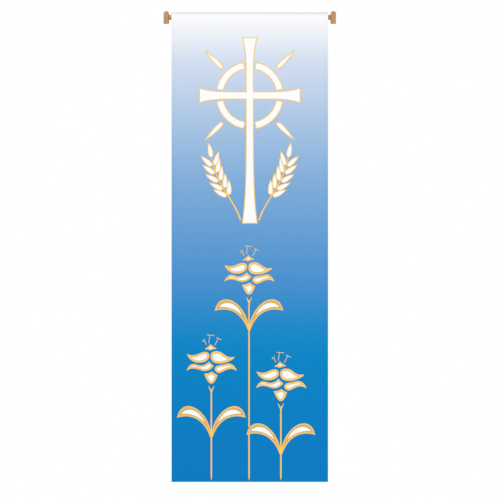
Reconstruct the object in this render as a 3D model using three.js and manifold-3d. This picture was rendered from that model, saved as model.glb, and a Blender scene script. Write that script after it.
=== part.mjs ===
// A church banner that hangs from a turned wooden rod.
// Millimetres, +Z up, +X to the right of somebody who faces the banner, whose front looks along -Y.
// The origin is on the rod's axis, half way along it.

import * as THREE from 'three';
import { mergeVertices } from 'three/addons/utils/BufferGeometryUtils.js';
import Module from 'manifold-3d';

const wasm = await Module();
wasm.setup();

// Cloth
const CLOTH_WIDTH = 610;
const CLOTH_DROP = 1830; // from the top of the pocket to the bottom edge
const CLOTH_THICKNESS = 1.5;
const POCKET_DEPTH = 62; // from the rod's axis down to the pocket's seam
const SEAM_BAND = 14; // height of the two layers that are sewn together under the pocket
const HEM_HEIGHT = 25; // height of the doubled bottom hem
const POCKET_STEPS = 26; // straight facets round the top of the pocket

// Rod
const ROD_DIAMETER = 35;
const ROD_INSET = 3; // from the cloth's side edge in to the rod's shoulder
const SHOULDER_LENGTH = 4; // along the rod, from the body down to the neck
const NECK_DIAMETER = 19;
const ROD_SIDES = 48;

// End blocks
const BLOCK_GAP = 10; // length of neck that shows between the cloth and each block
const BLOCK_WIDTH = 21;
const BLOCK_DEPTH = 34;
const BLOCK_HEIGHT = 48;
const BLOCK_EDGE_RADIUS = 6; // upright edges
const BLOCK_BROW_RADIUS = 9; // top edge at the front and back
const TENON_LENGTH = 12; // how far the neck goes into the block
const ARC_STEPS = 8; // straight facets in a quarter circle

// Clearances
const REST_GAP = 0.5; // between the cloth and the rod that carries it
const SOCKET_GAP = 0.3; // round the rod's end in its block, and beyond it
const WELD_DISTANCE = 1e-4; // corners closer than this are one corner

// Worked out from the sizes above
const POCKET_INNER_RADIUS = ROD_DIAMETER / 2 + REST_GAP;
const POCKET_OUTER_RADIUS = POCKET_INNER_RADIUS + CLOTH_THICKNESS;
const BOTTOM_Z = POCKET_OUTER_RADIUS - CLOTH_DROP;
const BLOCK_INNER_X = CLOTH_WIDTH / 2 + BLOCK_GAP;

const satin = new THREE.MeshStandardMaterial({ color: '#e8eef8', roughness: 0.85, metalness: 0 });
const beech = new THREE.MeshStandardMaterial({ color: '#bb7a4a', roughness: 0.5, metalness: 0 });
const paleBeech = new THREE.MeshStandardMaterial({ color: '#bb926b', roughness: 0.5, metalness: 0 });

/** Points along an arc about a centre, from one angle to another, both ends included. */
function arcPoints(centreX, centreY, radius, fromAngle, toAngle, steps) {
  const points = [];
  for (let i = 0; i <= steps; i += 1) {
    const angle = fromAngle + ((toAngle - fromAngle) * i) / steps;
    points.push(new THREE.Vector2(centreX + radius * Math.cos(angle), centreY + radius * Math.sin(angle)));
  }
  return points;
}

/** The same geometry with its corners shared, which joins its faces into one closed body. */
function welded(geometry) {
  const bare = geometry.index ? geometry.toNonIndexed() : geometry.clone();
  bare.deleteAttribute('normal');
  bare.deleteAttribute('uv');
  return mergeVertices(bare, WELD_DISTANCE);
}

/** A closed geometry as a solid that can be joined and cut. */
function solidOf(geometry) {
  const bare = welded(geometry);
  return new wasm.Manifold(
    new wasm.Mesh({
      numProp: 3,
      vertProperties: Float32Array.from(bare.attributes.position.array),
      triVerts: Uint32Array.from(bare.index.array),
    }),
  );
}

/** A solid back as a geometry. */
function geometryOf(solid) {
  const mesh = solid.getMesh();
  const geometry = new THREE.BufferGeometry();
  geometry.setAttribute('position', new THREE.BufferAttribute(Float32Array.from(mesh.vertProperties), 3));
  geometry.setIndex(new THREE.BufferAttribute(Uint32Array.from(mesh.triVerts), 1));
  return geometry;
}

/** An outline drawn in X and Y, made into a prism from z = 0 up to z = depth. */
function prism(outline, depth) {
  return new THREE.ExtrudeGeometry(new THREE.Shape(outline), { depth, bevelEnabled: false });
}

/**
 * The cloth's section across the rod, drawn with the depth as x and the height as y.
 * The cloth goes up the front, round the rod and down behind it, and is sewn to itself under the rod.
 * From there the panel hangs straight, with the bottom hem turned up behind it.
 */
function clothSection() {
  const slope = Math.asin(POCKET_INNER_RADIUS / POCKET_DEPTH);
  const seamZ = -POCKET_DEPTH;
  const creaseZ = seamZ - CLOTH_THICKNESS * Math.tan(slope / 2);
  const outline = [
    ...arcPoints(0, 0, POCKET_OUTER_RADIUS, -slope, Math.PI + slope, POCKET_STEPS),
    new THREE.Vector2(-CLOTH_THICKNESS, creaseZ),
    new THREE.Vector2(-CLOTH_THICKNESS, BOTTOM_Z),
    new THREE.Vector2(CLOTH_THICKNESS, BOTTOM_Z),
    new THREE.Vector2(CLOTH_THICKNESS, BOTTOM_Z + HEM_HEIGHT),
    new THREE.Vector2(0, BOTTOM_Z + HEM_HEIGHT),
    new THREE.Vector2(0, seamZ - SEAM_BAND),
    new THREE.Vector2(CLOTH_THICKNESS, seamZ - SEAM_BAND),
    new THREE.Vector2(CLOTH_THICKNESS, creaseZ),
  ];
  const tunnel = [
    ...arcPoints(0, 0, POCKET_INNER_RADIUS, -slope, Math.PI + slope, POCKET_STEPS),
    new THREE.Vector2(0, seamZ),
  ];
  const section = new THREE.Shape(outline);
  section.holes.push(new THREE.Path(tunnel));
  return section;
}

function makeCloth() {
  const geometry = new THREE.ExtrudeGeometry(clothSection(), { depth: CLOTH_WIDTH, bevelEnabled: false });
  const cloth = new THREE.Mesh(welded(geometry), satin);
  cloth.name = 'banner_cloth';
  cloth.rotation.set(Math.PI / 2, Math.PI / 2, 0);
  cloth.position.x = -CLOTH_WIDTH / 2;
  return cloth;
}

/** The rod's half profile from its middle out to one end, as radius and distance along the rod. */
function rodProfile() {
  const bodyRadius = ROD_DIAMETER / 2;
  const neckRadius = NECK_DIAMETER / 2;
  const shoulder = CLOTH_WIDTH / 2 - ROD_INSET;
  const easing = 1.5; // chamfer at each end of the rod and on the body's rim
  const end = BLOCK_INNER_X + TENON_LENGTH;
  return [
    [bodyRadius, shoulder - SHOULDER_LENGTH],
    [bodyRadius - easing, shoulder - SHOULDER_LENGTH + easing],
    [neckRadius, shoulder],
    [neckRadius, end - easing],
    [neckRadius - easing, end],
    [0, end],
  ];
}

function makeRod() {
  const half = rodProfile();
  const profile = [
    ...half.map(([radius, along]) => new THREE.Vector2(radius, -along)).reverse(),
    ...half.map(([radius, along]) => new THREE.Vector2(radius, along)),
  ];
  const rod = new THREE.Mesh(welded(new THREE.LatheGeometry(profile, ROD_SIDES)), beech);
  rod.name = 'rod';
  rod.rotation.z = -Math.PI / 2;
  return rod;
}

/** The block seen from above: a rectangle with rounded corners, centred on its own middle. */
function blockPlan() {
  const x = BLOCK_WIDTH / 2 - BLOCK_EDGE_RADIUS;
  const y = BLOCK_DEPTH / 2 - BLOCK_EDGE_RADIUS;
  const corners = [
    [x, y],
    [-x, y],
    [-x, -y],
    [x, -y],
  ];
  return corners.flatMap(([cx, cy], turn) =>
    arcPoints(cx, cy, BLOCK_EDGE_RADIUS, (turn * Math.PI) / 2, ((turn + 1) * Math.PI) / 2, ARC_STEPS),
  );
}

/** An upright outline of the given width, with its two top corners rounded and its bottom flat. */
function tombstone(width, cornerRadius) {
  const reach = width / 2 - cornerRadius;
  const springing = BLOCK_HEIGHT / 2 - cornerRadius;
  const outline = [
    new THREE.Vector2(-width / 2, -BLOCK_HEIGHT / 2),
    new THREE.Vector2(width / 2, -BLOCK_HEIGHT / 2),
    ...arcPoints(reach, springing, cornerRadius, 0, Math.PI / 2, ARC_STEPS),
    ...arcPoints(-reach, springing, cornerRadius, Math.PI / 2, Math.PI, ARC_STEPS),
  ];
  return outline.filter((point, i) => i === 0 || point.distanceTo(outline[i - 1]) > WELD_DISTANCE);
}

/** The block about its own middle, with its socket opening towards +X. */
function blockGeometry() {
  const upright = solidOf(prism(blockPlan(), BLOCK_HEIGHT).translate(0, 0, -BLOCK_HEIGHT / 2));
  const frontView = solidOf(
    prism(tombstone(BLOCK_WIDTH, BLOCK_WIDTH / 2), BLOCK_DEPTH)
      .translate(0, 0, -BLOCK_DEPTH / 2)
      .rotateX(Math.PI / 2),
  );
  const sideView = solidOf(
    prism(tombstone(BLOCK_DEPTH, BLOCK_BROW_RADIUS), BLOCK_WIDTH)
      .rotateX(Math.PI / 2)
      .rotateZ(Math.PI / 2)
      .translate(-BLOCK_WIDTH / 2, 0, 0),
  );
  const radius = NECK_DIAMETER / 2 + SOCKET_GAP;
  const depth = TENON_LENGTH + SOCKET_GAP;
  const overrun = 1; // past the block's face, for a clean cut
  const socket = solidOf(
    new THREE.CylinderGeometry(radius, radius, depth + overrun, ROD_SIDES)
      .rotateZ(-Math.PI / 2)
      .translate(BLOCK_WIDTH / 2 - (depth - overrun) / 2, 0, 0),
  );
  return geometryOf(upright.intersect(frontView).intersect(sideView).subtract(socket));
}

/** An end block; side is -1 for the left one and 1 for the right one. */
function makeBlock(name, side) {
  const block = new THREE.Mesh(blockGeometry(), paleBeech);
  block.name = name;
  block.position.x = side * (BLOCK_INNER_X + BLOCK_WIDTH / 2);
  block.rotation.z = side > 0 ? Math.PI : 0;
  return block;
}

const banner = new THREE.Group();
banner.add(makeCloth(), makeRod(), makeBlock('end_block_left', -1), makeBlock('end_block_right', 1));

export default banner;
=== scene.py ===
"""A church banner on a wooden rod: its cloth, embroidery, sewing and woodwork, round the fixed frame."""

import math
from bisect import bisect_right
from collections import namedtuple

import bmesh
import bpy
from bpy.props import FloatProperty, FloatVectorProperty, IntProperty, PointerProperty
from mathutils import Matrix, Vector
from mathutils.kdtree import KDTree


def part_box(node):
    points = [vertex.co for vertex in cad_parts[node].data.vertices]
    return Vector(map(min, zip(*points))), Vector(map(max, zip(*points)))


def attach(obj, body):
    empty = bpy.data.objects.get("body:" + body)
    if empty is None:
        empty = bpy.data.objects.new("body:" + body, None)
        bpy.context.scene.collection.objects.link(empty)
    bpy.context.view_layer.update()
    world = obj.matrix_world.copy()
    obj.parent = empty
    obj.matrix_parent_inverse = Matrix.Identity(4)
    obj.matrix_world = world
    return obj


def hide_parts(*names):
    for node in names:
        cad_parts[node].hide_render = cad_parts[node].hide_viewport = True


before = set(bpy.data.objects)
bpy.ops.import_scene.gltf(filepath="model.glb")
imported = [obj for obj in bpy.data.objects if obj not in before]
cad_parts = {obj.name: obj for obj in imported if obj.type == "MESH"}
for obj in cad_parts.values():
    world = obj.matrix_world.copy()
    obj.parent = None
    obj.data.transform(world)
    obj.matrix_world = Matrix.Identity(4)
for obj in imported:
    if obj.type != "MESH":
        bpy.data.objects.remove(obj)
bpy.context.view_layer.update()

bl_info = {
    "name": "Church Banner",
    "version": (1, 0, 0),
    "blender": (4, 5, 0),
    "location": "View3D > Sidebar > Banner",
    "description": "Makes an embroidered church banner that hangs from a wooden rod",
    "category": "Object",
}

MM = 0.001
BODY = "root"

CLOTH_LOW, CLOTH_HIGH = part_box("banner_cloth")
ROD_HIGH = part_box("rod")[1]
BLOCK_NODES = ("end_block_left", "end_block_right")
BLOCK_BOXES = {node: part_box(node) for node in BLOCK_NODES}

CLOTH_WIDTH = CLOTH_HIGH.x - CLOTH_LOW.x
CLOTH_DROP = CLOTH_HIGH.z - CLOTH_LOW.z
ROD_RADIUS = ROD_HIGH.z
BLOCK_GAP = BLOCK_BOXES["end_block_right"][0].x - CLOTH_HIGH.x

CUT_UV = "cut"
THREAD_UV = "UVMap"
REVERSE = "reverse"
REACH = "reach"
WHITE = (1.0, 1.0, 1.0, 1.0)


def linear(colour):
    """A colour as it is seen on a screen, as the light values that a shader takes."""
    shares = (c / 12.92 if c <= 0.04045 else ((c + 0.055) / 1.055) ** 2.4 for c in colour[:3])
    return (*shares, 1.0)


def smooth_step(low, high, value):
    share = min(1.0, max(0.0, (value - low) / (high - low)))
    return share * share * (3.0 - 2.0 * share)


def spread(start, end, steps):
    """Numbers evenly apart from one to another, both included."""
    return [start + (end - start) * i / steps for i in range(steps + 1)]


# Settings


def length(name, description, default):
    return FloatProperty(
        name=name, description=description, default=default, min=0.0, unit="LENGTH", precision=4
    )


def colour(name, description, default):
    return FloatVectorProperty(
        name=name, description=description, default=default, size=3, min=0.0, max=1.0, subtype="COLOR_GAMMA"
    )


class BannerClothSettings(bpy.types.PropertyGroup):
    """Sizes and colours of the cloth."""

    thickness: length("Thickness", "One layer of the cloth", 0.8 * MM)
    pocket_depth: length("Pocket depth", "From the rod's axis down to the pocket's seam", 62 * MM)
    seam_band: length("Seam band", "Height of the pocket's edge that is sewn down", 14 * MM)
    side_hem: length("Side hem", "Width of the turned side edges", 12 * MM)
    bottom_hem: length("Bottom hem", "Height of the turned bottom edge", 25 * MM)
    top_colour: colour("Top", "At the top of the drop", (1.0, 1.0, 1.0))
    mist_colour: colour("Mist", "A tenth of the way down", (0.835, 0.88, 0.95))
    sky_colour: colour("Sky", "A third of the way down", (0.51, 0.68, 0.855))
    middle_colour: colour("Middle", "Over half of the way down", (0.28, 0.557, 0.808))
    deep_colour: colour("Deep", "Three quarters of the way down", (0.01, 0.515, 0.773))
    hem_colour: colour("Hem", "At the bottom hem", (0.004, 0.486, 0.761))


class BannerThreadSettings(bpy.types.PropertyGroup):
    """Sizes and colours of the embroidery and the sewing."""

    pitch: length("Pitch", "From one satin stitch to the next", 1.2 * MM)
    thread: length("Thread", "Thickness of the embroidery thread", 1.3 * MM)
    border_rise: length("Border rise", "Height of a satin border over the fill beside it", 0.7 * MM)
    fill_rise: length("Fill rise", "Height of a filled area over the cloth", 0.55 * MM)
    back_rise: length("Back rise", "Height of the thread behind the cloth", 0.25 * MM)
    seam_pitch: length("Seam pitch", "From one sewing stitch to the next", 3.2 * MM)
    seam_stitch: length("Seam stitch", "Length of a sewing stitch", 2.5 * MM)
    seam_thread: length("Seam thread", "Thickness of the sewing thread", 0.45 * MM)
    slant: FloatProperty(
        name="Slant", description="Lean of the satin stitches", default=math.radians(9), subtype="ANGLE"
    )
    seed: IntProperty(name="Seed", description="Order of the stitches' small differences", default=7)
    gold_colour: colour("Gold", "Borders, stems and stamens", (0.89, 0.722, 0.342))
    old_gold_colour: colour("Old gold", "Bodies of the leaves", (0.765, 0.62, 0.345))
    white_colour: colour("White", "Fills", (0.885, 0.885, 0.88))


class BannerWoodSettings(bpy.types.PropertyGroup):
    """Sizes and colours of the rod and its end blocks."""

    neck_radius: length("Neck radius", "Of the rod outside the cloth", 9.5 * MM)
    rod_inset: length("Rod inset", "From the cloth's side edge in to the rod's shoulder", 3 * MM)
    edge_radius: length("Edge radius", "Of the blocks' upright edges", 6 * MM)
    brow_radius: length("Brow radius", "Of the blocks' top edge at the front and back", 9 * MM)
    rod_colour: colour("Rod", "Wood of the rod", (0.78, 0.565, 0.353))
    block_colour: colour("Blocks", "Wood of the end blocks", (0.672, 0.49, 0.337))


class BannerStageSettings(bpy.types.PropertyGroup):
    """The camera, the lights and the floor."""

    camera_distance: length("Camera distance", "From the banner's front to the camera", 12.0)
    view_width: length("View width", "Width of the picture at the cloth", 1.949)
    aim_height: length("Aim height", "From the rod's axis down to the middle of the picture", 0.9065)
    floor_drop: length("Floor drop", "From the bottom hem down to the floor", 0.34)
    floor_radius: length("Floor radius", "Of the round floor", 1.6)
    ambient: FloatProperty(name="Ambient", description="Strength of the even light", default=0.58, min=0.0)
    key_power: FloatProperty(name="Key", description="Strength of the front light", default=153.0, min=0.0)


SETTINGS = {
    "banner_cloth": BannerClothSettings,
    "banner_thread": BannerThreadSettings,
    "banner_wood": BannerWoodSettings,
    "banner_stage": BannerStageSettings,
}


# Node graphs


class Wire:
    """A node's output that can be used in a Python expression."""

    def __init__(self, graph, socket):
        self.graph = graph
        self.socket = socket

    def math(self, operation, *others):
        return self.graph.math(operation, self, *others)

    def __add__(self, other):
        return self.math("ADD", other)

    def __sub__(self, other):
        return self.math("SUBTRACT", other)

    def __rsub__(self, other):
        return self.graph.math("SUBTRACT", other, self)

    def __mul__(self, other):
        return self.math("MULTIPLY", other)

    def __truediv__(self, other):
        return self.math("DIVIDE", other)

    def __pow__(self, other):
        return self.math("POWER", other)

    __radd__ = __add__
    __rmul__ = __mul__


class Graph:
    """Makes the nodes of one tree."""

    def __init__(self, tree):
        self.tree = tree

    def node(self, kind, settings=None, inputs=None, output=0):
        """A node of a kind, with its settings set first and then its inputs, as its output's wire."""
        made = self.tree.nodes.new(kind)
        for key, value in (settings or {}).items():
            if key == "stops":
                self.set_stops(made.color_ramp, value)
            else:
                setattr(made, key, value)
        named = {socket.identifier: socket for socket in made.inputs}
        for key, value in (inputs or {}).items():
            self.plug(named[key] if key in named else made.inputs[key], value)
        return Wire(self, made.outputs[output])

    def plug(self, socket, value):
        if isinstance(value, Wire):
            self.tree.links.new(value.socket, socket)
        else:
            socket.default_value = value

    def math(self, operation, *values):
        return self.node("ShaderNodeMath", {"operation": operation}, dict(enumerate(values)))

    def mix(self, share, low, high):
        """Two colours, mixed by a share."""
        return self.node("ShaderNodeMix", {"data_type": "RGBA"}, {0: share, 6: low, 7: high}, output=2)

    def parts(self, vector):
        """The three numbers of a vector."""
        first = self.node("ShaderNodeSeparateXYZ", inputs={0: vector})
        return [Wire(self, socket) for socket in first.socket.node.outputs]

    def random(self, low, high, seed):
        """A number between two others, different at each point."""
        inputs = {"Min_001": low, "Max_001": high, "Seed": seed}
        return self.node("FunctionNodeRandomValue", {"data_type": "FLOAT"}, inputs, output=1)

    def joined(self, x, y, z):
        return self.node("ShaderNodeCombineXYZ", inputs={0: x, 1: y, 2: z})

    @staticmethod
    def set_stops(ramp, stops):
        while len(ramp.elements) > 1:
            ramp.elements.remove(ramp.elements[-1])
        for i, (position, value) in enumerate(stops):
            element = ramp.elements[0] if i == 0 else ramp.elements.new(position)
            element.position = position
            element.color = value


class Finish(Graph):
    """A material and its nodes."""

    def __init__(self, name, constants):
        self.material = bpy.data.materials.new(name)
        self.material.use_nodes = True
        super().__init__(self.material.node_tree)
        self.shader = self.tree.nodes["Principled BSDF"]
        for key, value in constants.items():
            self.shader.inputs[key].default_value = value

    def feed(self, socket, wire):
        self.plug(self.shader.inputs[socket], wire)

    def object_point(self):
        return self.node("ShaderNodeTexCoord", output=3)

    def noise(self, point, scale, detail=2.0):
        inputs = {"Vector": point, "Scale": scale, "Detail": detail}
        return self.node("ShaderNodeTexNoise", inputs=inputs)

    def bump(self, height, strength, distance, under=None):
        inputs = {"Strength": strength, "Distance": distance, "Height": height}
        if under is not None:
            inputs["Normal"] = under
        return self.node("ShaderNodeBump", inputs=inputs)

    def shaded(self, base, share, depth):
        """A colour that a 0 to 1 share varies by the given depth, up and down."""
        dark, light = (
            (*(min(1.0, c * (1.0 + change)) for c in base[:3]), 1.0) for change in (-depth, depth)
        )
        return self.mix(share, dark, light)


# Finishes


def fade_colour(finish, height, cloth):
    """The cloth's colour at a height over its bottom edge, which fades from white to blue."""
    stops = (
        (0.00, cloth.hem_colour),
        (0.09, cloth.hem_colour),
        (0.26, cloth.deep_colour),
        (0.414, cloth.middle_colour),
        (0.644, cloth.sky_colour),
        (0.90, cloth.mist_colour),
        (0.985, cloth.top_colour),
    )
    ramp = finish.node(
        "ShaderNodeValToRGB",
        {"stops": [(position, (*value, 1.0)) for position, value in stops]},
        {"Fac": height / CLOTH_DROP},
    )
    return finish.node("ShaderNodeGamma", inputs={"Color": ramp, "Gamma": 2.2})


def weave_height(across, along, pitch):
    """A plain weave's height: warp and weft threads that pass over each other by turns."""
    warp = (across * (math.pi / pitch)).math("SINE") ** 2.0
    weft = (along * (math.pi / pitch)).math("SINE") ** 2.0
    column = (across / pitch).math("FLOOR")
    row = (along / pitch).math("FLOOR")
    over = (column + row).math("PINGPONG", 1.0)
    return warp * over + weft * (1.0 - over)


SEAM_PUCKER = 26 * MM
HEM_PUCKER = 18 * MM
WEAVE_PITCH = 0.5 * MM
STRAND = 0.375 * MM


def nearness(along, place, reach):
    """A wire that is 1 at a place along the cloth and falls to 0 at a reach from it."""
    return 1.0 - ((along - place).math("ABSOLUTE") / reach).math("MINIMUM", 1.0)


def cloth_finish(cloth):
    """Polyester satin that is dyed through: a fine weave, a soft sheen and a paler reverse."""
    constants = {"Sheen Weight": 0.02, "Sheen Roughness": 0.4, "Specular IOR Level": 0.06}
    finish = Finish("banner_satin", constants)
    uv = finish.node("ShaderNodeUVMap", {"uv_map": CUT_UV})
    across, along, _ = finish.parts(uv)
    base = fade_colour(finish, along, cloth)
    slub = finish.noise(finish.joined(across * 900.0, along * 60.0, 0.0), 1.0)
    cloudy = finish.noise(finish.joined(across, along, 0.0), 7.0)
    tone = 0.745 + 0.02 * slub + 0.015 * cloudy
    toned = finish.node("ShaderNodeVectorMath", {"operation": "SCALE"}, {"Vector": base, "Scale": tone})
    back = finish.node("ShaderNodeAttribute", {"attribute_name": REVERSE}, output=2)
    paler = finish.mix(0.14, toned, (0.8, 0.83, 0.86, 1.0))
    finish.feed("Base Color", finish.mix(back, toned, paler))
    finish.feed("Roughness", 0.58 + 0.12 * slub + 0.12 * back)
    weave = finish.bump(weave_height(across, along, WEAVE_PITCH), 0.22, 0.08 * MM)
    seam_at = CLOTH_DROP - CLOTH_HIGH.z - cloth.pocket_depth - cloth.seam_band / 2
    near_seam = nearness(along, seam_at, SEAM_PUCKER)
    near_hem = nearness(along, cloth.bottom_hem, HEM_PUCKER)
    ripple = finish.noise(finish.joined(across * 90.0, along * 9.0, 0.0), 1.0, detail=1.0)
    pucker = ripple * near_seam.math("MAXIMUM", near_hem)
    finish.feed("Normal", finish.bump(pucker, 0.5, 0.5 * MM, under=weave))
    return finish.material


def fill_finish(name, base_colour):
    """Fine shiny threads side by side along the rows of a filled area."""
    finish = Finish(name, {"Sheen Weight": 0.05, "Specular IOR Level": 0.35})
    uv = finish.node("ShaderNodeUVMap", {"uv_map": THREAD_UV})
    along, across, _ = finish.parts(uv)
    strand = along / STRAND
    thread = (strand * math.pi).math("SINE").math("ABSOLUTE") ** 0.6
    tint = finish.noise(finish.joined(strand.math("FLOOR") * 7.3, across * 90.0, 0.0), 1.0)
    finish.feed("Base Color", finish.shaded(linear(base_colour), tint, 0.05))
    finish.feed("Roughness", 0.5 - 0.14 * thread)
    finish.feed("Normal", finish.bump(thread, 0.3, 0.1 * MM))
    return finish.material


def stitch_finish(name, base_colour):
    """Twisted rayon thread."""
    finish = Finish(name, {"Sheen Weight": 0.12, "Specular IOR Level": 0.5})
    point = finish.object_point()
    tint = finish.noise(point, 520.0)
    ply = finish.noise(point, 2600.0, detail=1.0)
    finish.feed("Base Color", finish.shaded(linear(base_colour), tint, 0.09))
    finish.feed("Roughness", 0.34 + 0.2 * tint)
    finish.feed("Normal", finish.bump(ply, 0.35, 0.1 * MM))
    return finish.material


def sewing_finish(cloth):
    """Sewing thread dyed to go with the cloth, a little lighter than it."""
    finish = Finish("tonal_sewing_thread", {"Sheen Weight": 0.1, "Specular IOR Level": 0.5})
    point = finish.object_point()
    height = finish.parts(point)[2] - CLOTH_LOW.z
    base = fade_colour(finish, height, cloth)
    finish.feed("Base Color", finish.mix(0.24, base, (0.04, 0.05, 0.06, 1.0)))
    finish.feed("Roughness", 0.42 + 0.2 * finish.noise(point, 900.0))
    return finish.material


def drawn_out(finish, parts, axis, across, along):
    """A place in the wood for a noise, whose marks are drawn out along the grain's axis."""
    scales = [across] * 3
    scales[axis] = along
    return finish.joined(*(part * scale for part, scale in zip(parts, scales)))


def wood_finish(name, base_colour, grain_axis):
    """Waxed beech: long pale and dark grain, short dark flecks and fine pores along the grain."""
    finish = Finish(name, {"Specular IOR Level": 0.42, "Coat Roughness": 0.3})
    parts = finish.parts(finish.object_point())
    grain = finish.noise(drawn_out(finish, parts, grain_axis, 260.0, 14.0), 1.0, detail=4.0)
    specks = finish.noise(drawn_out(finish, parts, grain_axis, 900.0, 110.0), 1.0, detail=1.0)
    fleck = ((specks - 0.60) * 9.0).math("MAXIMUM", 0.0).math("MINIMUM", 1.0)
    base = linear(base_colour)
    dark = tuple(c * f for c, f in zip(base[:3], (0.62, 0.52, 0.44))) + (1.0,)
    figured = finish.shaded(base, grain, 0.19)
    finish.feed("Base Color", finish.mix(0.55 * fleck, figured, dark))
    finish.feed("Roughness", 0.4 + 0.16 * grain + 0.12 * fleck)
    finish.feed("Coat Weight", 0.22 - 0.12 * fleck)
    finish.feed("Normal", finish.bump(grain - 0.6 * fleck, 0.25, 0.25 * MM))
    return finish.material


def floor_finish():
    finish = Finish("pale_floor", {"Specular IOR Level": 0.2, "Roughness": 0.8})
    tint = finish.noise(finish.object_point(), 3.0)
    finish.feed("Base Color", finish.shaded((0.78, 0.78, 0.78, 1.0), tint, 0.015))
    return finish.material


# Shared mesh work


SOFT_EDGE = math.radians(40)


def placed(name, data):
    """An object of a mesh, a camera or a light, in the scene."""
    item = bpy.data.objects.new(name, data)
    bpy.context.scene.collection.objects.link(item)
    return item


def finished_object(name, mesh, materials, replaced=()):
    """An object of a mesh at the origin, that rides on the banner and takes a slot's finish."""
    mesh.name = name
    for material in materials:
        mesh.materials.append(material)
    piece = placed(name, mesh)
    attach(piece, BODY)
    if replaced:
        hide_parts(*replaced)


def evaluated_mesh(item):
    """A plain mesh of what an object's modifiers make."""
    seen = item.evaluated_get(bpy.context.evaluated_depsgraph_get())
    return bpy.data.meshes.new_from_object(seen)


def smoothed(mesh, sharp_angle):
    mesh.shade_smooth()
    mesh.set_sharp_from_angle(angle=sharp_angle)
    return mesh


def mesh_of(build, sharp_angle):
    """A new mesh of what was built, smooth but for its sharp edges."""
    mesh = bpy.data.meshes.new("work")
    build.to_mesh(mesh)
    build.free()
    return smoothed(mesh, sharp_angle)


def bridge(build, rings):
    """Faces between each ring of corners and the next, and over both ends."""
    faces = []
    count = len(rings[0])
    for near, far in zip(rings, rings[1:]):
        for i in range(count):
            j = (i + 1) % count
            faces.append(build.faces.new((near[i], near[j], far[j], far[i])))
    return faces + [build.faces.new(rings[0][::-1]), build.faces.new(rings[-1])]


def ringed_mesh(rings, sharp_angle=SOFT_EDGE):
    """A closed mesh through rings of places, with its faces outwards."""
    build = bmesh.new()
    bridge(build, [[build.verts.new(place) for place in ring] for ring in rings])
    bmesh.ops.recalc_face_normals(build, faces=build.faces[:])
    return mesh_of(build, sharp_angle)


def circle(radius, sides):
    angles = [2 * math.pi * k / sides for k in range(sides)]
    return [(radius * math.cos(angle), radius * math.sin(angle)) for angle in angles]


# Cloth


Station = namedtuple("Station", "point inward distance along part")
SeamLines = namedtuple("SeamLines", "pocket_upper pocket_lower hem side")
TAIL, REAR, OVER, PANEL = range(4)

ROUTE_STEP = 1.2 * MM
FOLD_GAP = 0.05 * MM
SLACK = 1e-9
PANEL_STEP = 30 * MM
COLUMN_STEP = 25 * MM
TAIL_STEP = 3 * MM
CLOSEST_TICKS = 0.04 * MM
EDGE_DEGREES = (0, 18, 36, 54, 72, 90)
THINNEST_HALF = 0.02 * MM
UPPER_SEAM_INSET = 2 * MM
LOWER_SEAM_INSET = 2.5 * MM
SIDE_SEAM_INSET = 1.8 * MM
TURN_BEFORE = 0.8 * MM
TURN_AFTER = 0.2 * MM
TAIL_RAMP = 1.5 * MM
CLOTH_EDGE = math.radians(70)


def tangent_angle(point, radius, side):
    """Where a line from a point touches a circle about the rod's axis, as an angle."""
    return math.atan2(point.y, point.x) + side * math.acos(radius / point.length)


def running_lengths(line):
    """How far along a line each of its points lies."""
    lengths = [0.0]
    for a, b in zip(line, line[1:]):
        lengths.append(lengths[-1] + (b - a).length)
    return lengths


class Route:
    """The cloth's printed face, from its sewn end behind, over the rod and down to the bottom edge."""

    def __init__(self, cloth):
        seam = -cloth.pocket_depth
        radius = CLOTH_HIGH.z
        rear_foot = Vector((2 * cloth.thickness + FOLD_GAP, seam))
        front_foot = Vector((-cloth.thickness, seam))
        rear_angle = tangent_angle(rear_foot, radius, 1)
        front_angle = tangent_angle(front_foot, radius, -1) + 2 * math.pi
        arc_steps = round((front_angle - rear_angle) * radius / ROUTE_STEP)
        angles = spread(rear_angle, front_angle, arc_steps)
        arc = [radius * Vector((math.cos(a), math.sin(a))) for a in angles]
        tail_foot = Vector((rear_foot.x, seam - cloth.seam_band))
        bottom = Vector((front_foot.x, CLOTH_LOW.z))
        self.corners = [tail_foot, rear_foot, *arc, front_foot, bottom]
        self.parts = [TAIL, REAR, *[OVER] * len(arc), PANEL]
        self.lengths = running_lengths(self.corners)
        self.total = self.lengths[-1]

    def station(self, distance):
        """The station at a distance from the sewn end.

        It has its point as depth and height, the way into the cloth, its distances from the sewn end and
        from the bottom edge, and its part of the route.
        """
        distance = min(distance, self.total)
        i = bisect_right(self.lengths[:-1], distance + SLACK) - 1
        a, b = self.corners[i : i + 2]
        share = (distance - self.lengths[i]) / (self.lengths[i + 1] - self.lengths[i])
        ahead = (b - a).normalized()
        inward = Vector((-ahead.y, ahead.x))
        return Station(a.lerp(b, share), inward, distance, self.total - distance, self.parts[i])


def ticks(start, end, step):
    return spread(start, end, max(1, math.ceil((end - start) / step)))


def fine_ticks(*centres):
    """Places close together round those where the cloth steps or dips."""
    offsets = (-1.6, -1.0, -0.6, -0.3, 0.0, 0.3, 0.6, 1.0, 1.6)
    return [centre + offset * MM for centre in centres for offset in offsets]


def edge_ticks(edge, inward, radius):
    """Places that follow a rounded edge, from the edge inwards."""
    return [edge + inward * radius * (1.0 - math.cos(math.radians(a))) for a in EDGE_DEGREES]


def thinned(places):
    """Sorted places without those that lie too close to the one before."""
    kept = []
    for place in sorted(places):
        if not kept or place - kept[-1] > CLOSEST_TICKS:
            kept.append(place)
    return kept


def rounded(distance, radius):
    """How full a rounded edge is at a distance from it, from 0 to 1."""
    if distance >= radius:
        return 1.0
    return math.sqrt(max(0.0, 1.0 - (1.0 - distance / radius) ** 2))


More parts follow.
